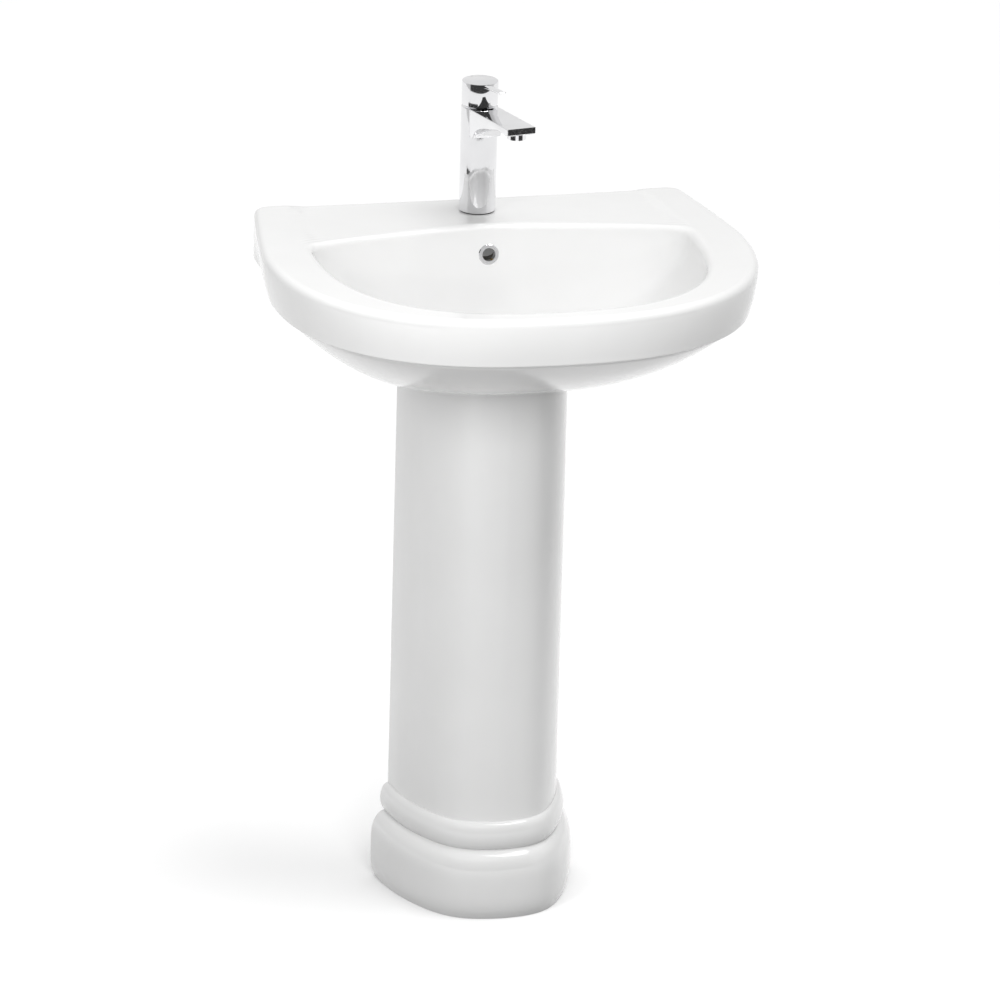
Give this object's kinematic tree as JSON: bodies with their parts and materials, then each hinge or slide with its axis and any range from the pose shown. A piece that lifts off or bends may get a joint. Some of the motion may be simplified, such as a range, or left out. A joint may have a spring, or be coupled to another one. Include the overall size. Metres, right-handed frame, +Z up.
{
  "type": "pedestal washbasin",
  "caption": "Pedestal washbasin: a D-shaped bowl with tap deck and overflow on a hollow column with a stepped foot, with lever mixer tap, push-up plug and bottle trap.",
  "frame": {"origin": "on the floor, under the centre of the overall box of the basin, column and tap", "axes": "+Z up, +Y toward the wall, -Y toward the person who uses it, +X to the user's right when facing the wall"},
  "size_m": [0.586, 0.49, 0.9941],
  "materials": {
    "ceramic": "white vitreous glaze, smooth and glossy",
    "chrome": "polished chrome plate",
    "rubber": "matt black rubber",
    "steel": "zinc-plated steel",
    "dark_steel": "blackened steel",
    "brass": "machined brass",
    "white_plastic": "moulded white plastic",
    "grey_plastic": "moulded grey plastic",
    "blue_plastic": "glossy blue plastic",
    "disc_ceramic": "lapped alumina"
  },
  "bodies": {
    "sink": {"basin": "ceramic", "pedestal": "ceramic", "overflow_ring": "chrome", "tap_base_gasket": "rubber", "tap_body": "chrome", "tap_fixing_stud": "steel", "tap_horseshoe_rubber": "rubber", "tap_horseshoe_washer": "steel", "tap_fixing_nut": "brass", "cartridge_housing": "white_plastic", "ceramic_disc_fixed": "disc_ceramic", "cartridge_retaining_nut": "brass", "dome_ring": "chrome", "aerator_housing": "chrome", "aerator_insert": "grey_plastic", "waste_body": "chrome", "waste_seal": "rubber", "waste_cone_seal": "rubber", "waste_backnut": "brass", "plug_guide": "white_plastic", "trap_inlet_nut": "chrome", "trap_inlet_seal": "rubber", "trap_inlet_tube": "chrome", "trap_body": "chrome", "trap_cup": "chrome", "trap_cup_seal": "rubber", "trap_outlet_nut": "chrome", "trap_outlet_seal": "rubber", "trap_outlet_pipe": "chrome"},
    "tap_swivel": {"cartridge_driver": "grey_plastic", "ceramic_disc_moving": "disc_ceramic", "stem_pin": "steel"},
    "tap_lever": {"lever_handle": "chrome", "lever_set_screw": "dark_steel", "lever_indicator": "blue_plastic", "cartridge_stem": "brass"},
    "plug": {"plug_cap": "chrome", "plug_seal": "rubber", "plug_stem": "brass"}
  },
  "joints": [
    {"name": "tap_swivel", "type": "hinge", "parent": "sink", "child": "tap_swivel", "pos_m": [0, 0.193, 0.94], "axis": [0, 0, 1], "range_deg": [-45, 45]},
    {"name": "tap_lift", "type": "hinge", "parent": "tap_swivel", "child": "tap_lever", "pos_m": [0, 0.193, 0.94], "axis": [-0.9848, -0.1736, 0], "range_deg": [0, 20]},
    {"name": "plug_lift", "type": "slide", "parent": "sink", "child": "plug", "axis": [0, 0, 1], "range_m": [0, 0.01]}
  ]
}
